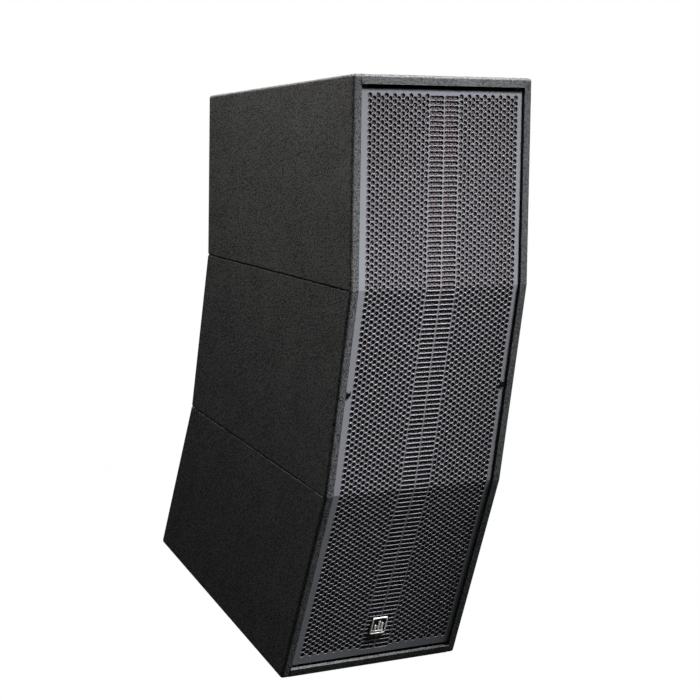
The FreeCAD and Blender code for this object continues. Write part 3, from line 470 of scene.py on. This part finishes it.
def plan_grille():
    """The flat grille: its points, the same moved in by the rounded edge, each one's opening, edges."""
    outer, inner, loops, edges = [], [], [], []
    fold_points = {fold: [] for fold in GRILLE_ENDS[1:-1]}
    for number, (across, along, half_line, radius) in enumerate(openings()):
        wide = radius + HOLE_EDGE
        fold = next((item for item in fold_points if abs(item - along) < wide * CROSSED), None)
        crossing = None if fold is None else (fold - along) / wide
        first = len(outer)
        for angle, side in loop_angles(half_line, crossing):
            middle = across + side * half_line
            outer.append((middle + wide * math.cos(angle), along + wide * math.sin(angle)))
            inner.append((middle + radius * math.cos(angle), along + radius * math.sin(angle)))
            loops.append(number)
            if fold is not None and abs(outer[-1][1] - fold) < NO_LENGTH:
                reach = math.sqrt(max(radius ** 2 - (fold - along) ** 2, 0.0))
                inner[-1] = (middle + math.copysign(reach, math.cos(angle)), fold)
                fold_points[fold].append(len(outer) - 1)
        count = len(outer) - first
        edges += [(first + index, first + (index + 1) % count) for index in range(count)]
    corner = len(outer)
    rim = [(-GRILLE_HALF, GRILLE_ENDS[0]), (GRILLE_HALF, GRILLE_ENDS[0])]
    rim += [(GRILLE_HALF, end) for end in GRILLE_ENDS[1:]]
    rim += [(-GRILLE_HALF, end) for end in reversed(GRILLE_ENDS[1:])]
    for across, along in rim:
        outer.append((across, along))
        inner.append((across, along))
        loops.append(-1)
    edges += [(corner + index, corner + (index + 1) % len(rim)) for index in range(len(rim))]
    for number, fold in enumerate(GRILLE_ENDS[1:-1]):
        crossed = sorted(fold_points[fold], key=lambda index: outer[index][0])
        chain = [corner + len(rim) - 1 - number, *crossed, corner + 2 + number]
        edges += [(chain[index], chain[index + 1]) for index in range(0, len(chain), 2)]
    return outer, inner, loops, edges


def grille_triangles(outer, loops, edges):
    """Triangles of the flat grille between its openings."""
    points = [Vector(point) / MM for point in outer]
    made = delaunay_2d_cdt(points, edges, [], CDT_KEEP_FACES, CDT_MERGE)
    origin = np.array([source[0] for source in made[3]])
    triangles = origin[np.array(made[2])]
    owners = np.array(loops)[triangles]
    inside = (owners[:, 0] == owners[:, 1]) & (owners[:, 1] == owners[:, 2]) & (owners[:, 0] >= 0)
    return triangles[~inside]


def perforated_grille():
    """The bent steel sheet as three closed facets, each hole with a rounded edge."""
    outer, inner, loops, edges = plan_grille()
    triangles = grille_triangles(outer, loops, edges)
    outer = np.array(outer)
    inner = np.array(inner)
    along = outer[triangles, 1].mean(axis=1)
    for index, name in enumerate(SEGMENTS):
        mine = triangles[(along > GRILLE_ENDS[index]) & (along < GRILLE_ENDS[index + 1])]
        used, local = np.unique(mine, return_inverse=True)
        local = local.reshape(mine.shape)
        count = len(used)
        front = np.column_stack([outer[used], np.zeros(count)])
        lip = np.column_stack([inner[used], np.full(count, HOLE_EDGE)])
        back = np.column_stack([inner[used], np.full(count, GRILLE_SHEET)])
        layers = np.vstack([front, lip, back])
        spread = np.array(bent(layers, index, GRILLE_RECESS, GRILLE_MARGIN))
        sides = np.vstack([local[:, [0, 1]], local[:, [1, 2]], local[:, [2, 0]]])
        keys = {tuple(side) for side in sides.tolist()}
        open_sides = [side for side in keys if (side[1], side[0]) not in keys]
        faces = [tuple(face) for face in local[:, ::-1].tolist()]
        smooth = [False] * len(faces)
        for first, second in open_sides:
            for upper, lower in ((0, count), (count, 2 * count)):
                faces.append((first + upper, second + upper, second + lower, first + lower))
                smooth.append(upper == count)
        faces += [tuple(face) for face in (local + 2 * count).tolist()]
        smooth += [False] * len(local)
        piece = new_piece(f"grille_{name}", spread.tolist(), faces, "grille_paint", smooth)
        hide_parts("grille")


# ---------------------------------------------------------------- acoustic cloth

def grille_cloth():
    """One thin stretched sheet behind the grille, with its flat coordinates kept for the knit."""
    depth = GRILLE_RECESS + GRILLE_SHEET + CLOTH_GAP
    margin = GRILLE_MARGIN + CLOTH_INSET
    ends = bend_ends(depth, margin)
    half = GRILLE_HALF - CLOTH_INSET
    vertices, flat = [], []
    for behind in (0.0, CLOTH_SHEET):
        for number, end in enumerate(ends):
            index = min(number, len(SEGMENTS) - 1)
            for across in (-half, half):
                point = np.array([[across, end, behind]])
                vertices.append(bent(point, index, depth, margin)[0].tolist())
                flat.append((across, end, 0.0))
    rows = len(ends)
    faces = []
    for row in range(rows - 1):
        front = 2 * row
        back = 2 * (rows + row)
        faces.append((front, front + 1, front + 3, front + 2))
        faces.append((back, back + 2, back + 3, back + 1))
        faces.append((front, front + 2, back + 2, back))
        faces.append((front + 1, back + 1, back + 3, front + 3))
    last = 2 * (rows - 1)
    faces.append((0, 2 * rows, 2 * rows + 1, 1))
    faces.append((last, last + 1, 2 * rows + last + 1, 2 * rows + last))
    cloth = new_piece("acoustic_cloth", vertices, faces, "grille_fabric")
    place_of = cloth.data.attributes.new("flat_place", "FLOAT_VECTOR", "POINT")
    place_of.data.foreach_set("vector", np.array(flat, np.float32).ravel())
    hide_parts("grille_cloth")


# ---------------------------------------------------------------- badge

def rounded_loop(half_width, half_height, radius, steps=5):
    """Points (across, up) round a rectangle with round corners, counter-clockwise from the right."""
    points = []
    for quarter, (right, up) in enumerate(((1, 1), (-1, 1), (-1, -1), (1, -1))):
        centre = (right * (half_width - radius), up * (half_height - radius))
        for step in range(steps + 1):
            angle = (quarter + step / steps) * math.pi / 2
            points.append((centre[0] + radius * math.cos(angle), centre[1] + radius * math.sin(angle)))
    return points


def shell(frame_of, loops, ring=False):
    """Points and faces closed over loops (points, distance in front of the frame's face)."""
    vertices, faces = [], []
    count = len(loops[0][0])
    for points, height in loops:
        vertices += [frame_of @ Vector((across, -height, up)) for across, up in points]
    pairs = [(index, index + 1) for index in range(len(loops) - 1)]
    if ring:
        pairs.append((len(loops) - 1, 0))
    for lower, upper in pairs:
        for index in range(count):
            after = (index + 1) % count
            faces.append((lower * count + index, lower * count + after,
                          upper * count + after, upper * count + index))
    if not ring:
        faces.append(tuple(reversed(range(count))))
        faces.append(tuple(range((len(loops) - 1) * count, len(loops) * count)))
    return vertices, faces


def skin(name, frame_of, loops, slot, ring=False):
    """A piece that is one shell."""
    return new_piece(name, *shell(frame_of, loops, ring), slot)


def badge():
    """A square metal plate with a raised border round a dark field, three upright bars and a line."""
    centre = facet_frame(2) @ Matrix.Translation((0.0, GRILLE_RECESS, -BADGE_DOWN))
    half, edge = BADGE_SIDE / 2, BADGE_EDGE
    inside = half - BADGE_BORDER
    border = [
        (rounded_loop(half, half, BADGE_CORNER), 0.0),
        (rounded_loop(half, half, BADGE_CORNER), BADGE_SHEET - edge),
        (rounded_loop(half - edge, half - edge, BADGE_CORNER - edge), BADGE_SHEET),
        (rounded_loop(inside + edge, inside + edge, BADGE_INNER_CORNER + edge), BADGE_SHEET),
        (rounded_loop(inside, inside, BADGE_INNER_CORNER), BADGE_SHEET - edge),
        (rounded_loop(inside, inside, BADGE_INNER_CORNER), 0.0)]
    pieces = [skin("badge_border", centre, border, "badge_metal", ring=True)]
    field_half = inside - BADGE_FIELD_GAP
    field = rounded_loop(field_half, field_half, BADGE_INNER_CORNER)
    pieces.append(skin("badge_field", centre, [(field, 0.0), (field, BADGE_SHEET / 2)],
                       "rocker_plastic"))
    shapes = [(f"badge_bar_{number}", across, BAR_FOOT - inside + rise / 2, BAR_HALF, rise / 2)
              for number, (across, rise) in enumerate(BADGE_BARS)]
    shapes.append(("badge_line", 0.0, LINE_UP - inside, inside - LINE_INSET, LINE_HALF))
    for name, across, up, half_width, half_height in shapes:
        place_of = centre @ Matrix.Translation((across, 0.0, up))
        corner = min(half_width, half_height) * 0.5
        wide = rounded_loop(half_width, half_height, corner)
        narrow = rounded_loop(half_width - edge / 2, half_height - edge / 2, corner - edge / 2)
        bar = [(wide, BADGE_SHEET / 2), (wide, BADGE_SHEET - edge), (narrow, BADGE_SHEET - edge / 2)]
        pieces.append(skin(name, place_of, bar, "badge_metal"))
    for piece in pieces:
        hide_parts("badge")


# ---------------------------------------------------------------- gain scale

def tick(centre, outward, away, length, rise):
    """Points and faces of one straight tick that lies on a plane and points away from the axis."""
    turned = Matrix((outward.cross(away) * -1.0, outward * -1.0, away)).transposed().to_4x4()
    points = [(-TICK_HALF, -length / 2), (TICK_HALF, -length / 2),
              (TICK_HALF, length / 2), (-TICK_HALF, length / 2)]
    return shell(Matrix.Translation(centre) @ turned, [(points, 0.0), (points, rise)])


def gain_scale():
    """Raised ticks round the gain knob, longer at the ends and the middle, and the knob's pointer."""
    plate = frame["nodes"]["rear_plate"]
    rear_faces = [face for face in plate.data.polygons if face.normal.y > 0.0]
    widest = max(rear_faces, key=lambda face: face.area)
    outward = (plate.matrix_world.to_3x3() @ widest.normal).normalized()
    low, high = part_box("gain_knob")
    middle = (low + high) / 2
    radius = (high.x - low.x) / 2
    foot = middle - outward * (middle - plate.matrix_world @ widest.center).dot(outward)
    up = (Vector((0.0, 0.0, 1.0)) - outward * outward.z).normalized()
    vertices, faces = [], []
    for number in range(TICKS):
        share = number / (TICKS - 1)
        length = TICK_LONG if share in (0.0, 0.5, 1.0) else TICK_SHORT
        away = Matrix.Rotation(GAIN_TURN * (2.0 * share - 1.0), 3, outward) @ up
        centre = foot + away * (radius + TICK_GAP + length / 2)
        made, sides = tick(centre, outward, away, length, TICK_RISE)
        faces += [tuple(index + len(vertices) for index in side) for side in sides]
        vertices += made
    new_piece("gain_scale", vertices, faces, "badge_metal")
    knob = frame["nodes"]["gain_knob"]
    crown = max((knob.matrix_world @ corner.co - foot).dot(outward) for corner in knob.data.vertices)
    length = radius - POINTER_START - POINTER_MARGIN
    centre = foot + outward * (crown - POINTER_SUNK) + up * (POINTER_START + length / 2)
    made, sides = tick(centre, outward, up, length, POINTER_RISE)
    new_piece("gain_pointer", made, sides, "badge_metal", body="gain_control")


# ---------------------------------------------------------------- camera, light and floor

CAMERA_PLACE = FRONT_TOP + Vector((-1.7607, -2.1646, -0.2356))
CAMERA_AZIMUTH = math.radians(36.571)
CAMERA_DROP = math.radians(1.692)
CAMERA_ROLL = math.radians(-2.1215)
LENS = 121.77
SENSOR = 36.0
SEEN_TO = 100.0
WHITE = (1.0, 1.0, 1.0, 1.0)
ROOM = (0.93, 0.96, 1.0, 1.0)
ROOM_STRENGTH = 0.058
FLOOR_DROP = 1.3
FLOOR_SIZE = 40.0


def camera():
    data = bpy.data.cameras.new("camera")
    data.sensor_width = SENSOR
    data.lens = LENS
    data.clip_end = SEEN_TO
    camera_object = bpy.data.objects.new("camera", data)
    bpy.context.scene.collection.objects.link(camera_object)
    forward = Vector((math.sin(CAMERA_AZIMUTH) * math.cos(CAMERA_DROP),
                      math.cos(CAMERA_AZIMUTH) * math.cos(CAMERA_DROP), -math.sin(CAMERA_DROP)))
    level = forward.to_track_quat("-Z", "Y").to_matrix().to_4x4()
    camera_object.matrix_world = (Matrix.Translation(CAMERA_PLACE) @ level
                                  @ Matrix.Rotation(CAMERA_ROLL, 4, "Z"))
    bpy.context.scene.camera = camera_object


# Soft beams: name, direction from the aim (azimuth from the front towards +X, elevation), distance,
# aim (across, down the front), the beam's radius at the lamp, its angle, power and colour.
BEAMS = (
    ("key", 46.4, 53.0, 1.84, (-0.22, 0.58), 0.20, 34.0, 585.0, (0.92, 0.955, 1.0)),
    ("fill", -115.0, 42.0, 1.6, (0.0, 0.0), 0.25, 44.0, 80.0, (1.0, 0.97, 0.93)),
)
# Cards: name, azimuth, elevation, distance, width and height, power and colour.
CARDS = (
    ("back", 155.0, 30.0, 2.0, (2.6, 1.4), 62.0, (1.0, 0.97, 0.94)),
    ("top", -160.0, 80.0, 1.5, (0.9, 0.9), 48.0, (1.0, 0.97, 0.94)),
)


def lamp(data, azimuth, elevation, distance, aim, power, colour):
    """Puts a lamp on the scene, turned to its aim and unseen by the camera."""
    data.energy = power
    data.color = colour
    made = bpy.data.objects.new(data.name, data)
    bpy.context.scene.collection.objects.link(made)
    turn, rise = math.radians(azimuth), math.radians(elevation)
    away = Vector((math.sin(turn) * math.cos(rise), -math.cos(turn) * math.cos(rise), math.sin(rise)))
    made.location = aim + away * distance
    made.rotation_euler = (-away).to_track_quat("-Z", "Y").to_euler()
    made.visible_camera = False


def studio():
    for name, azimuth, elevation, distance, (across, down), radius, angle, power, colour in BEAMS:
        data = bpy.data.lights.new(name, "SPOT")
        data.shadow_soft_size = radius
        data.spot_size = math.radians(angle)
        data.spot_blend = 1.0
        aim = FRONT_TOP + Vector((across, 0.0, -down))
        lamp(data, azimuth, elevation, distance, aim, power, colour)
    for name, azimuth, elevation, distance, extent, power, colour in CARDS:
        data = bpy.data.lights.new(name, "AREA")
        data.shape = "RECTANGLE"
        data.size, data.size_y = extent
        lamp(data, azimuth, elevation, distance, FRONT_TOP, power, colour)


def surroundings():
    """White to the camera and a dim grey to everything that the room lights."""
    world = bpy.data.worlds.new("studio")
    bpy.context.scene.world = world
    world.use_nodes = True
    tree = world.node_tree
    tree.nodes.clear()
    seen = add(tree, "ShaderNodeBackground", {"Color": WHITE, "Strength": 1.0})
    felt = add(tree, "ShaderNodeBackground", {"Color": ROOM, "Strength": ROOM_STRENGTH})
    rays = add(tree, "ShaderNodeLightPath")
    mixed = add(tree, "ShaderNodeMixShader",
                {0: rays.outputs["Is Camera Ray"], 1: felt.outputs[0], 2: seen.outputs[0]})
    out = add(tree, "ShaderNodeOutputWorld")
    tree.links.new(mixed.outputs[0], out.inputs["Surface"])
    bpy.context.scene.view_settings.view_transform = "Standard"


def floor():
    """A plain pale floor well below the speaker, which hangs at a stand's height."""
    mesh = bpy.data.meshes.new("floor")
    half = FLOOR_SIZE / 2
    level = CAD_BOX[0].z - FLOOR_DROP
    corners = [(-half, -half, level), (half, -half, level), (half, half, level), (-half, half, level)]
    mesh.from_pydata(corners, [], [(0, 1, 2, 3)])
    material, tree, shader = new_material("pale_floor")
    speck = noise(tree, 0.4, 2.0)
    set_shader(tree, shader, Roughness=0.9, Emission_Strength=0.95,
               Base_Color=ramp(tree, speck, [(0.3, (0.8, 0.8, 0.8)), (0.7, (0.84, 0.84, 0.84))]),
               Emission_Color=WHITE)
    mesh.materials.append(material)
    plane = bpy.data.objects.new("floor", mesh)
    bpy.context.scene.collection.objects.link(plane)
    plane.visible_diffuse = False
    plane.visible_glossy = False


# ---------------------------------------------------------------- assembly

camera()
studio()
surroundings()
floor()
finish_cad_nodes()
perforated_grille()
grille_cloth()
badge()
gain_scale()
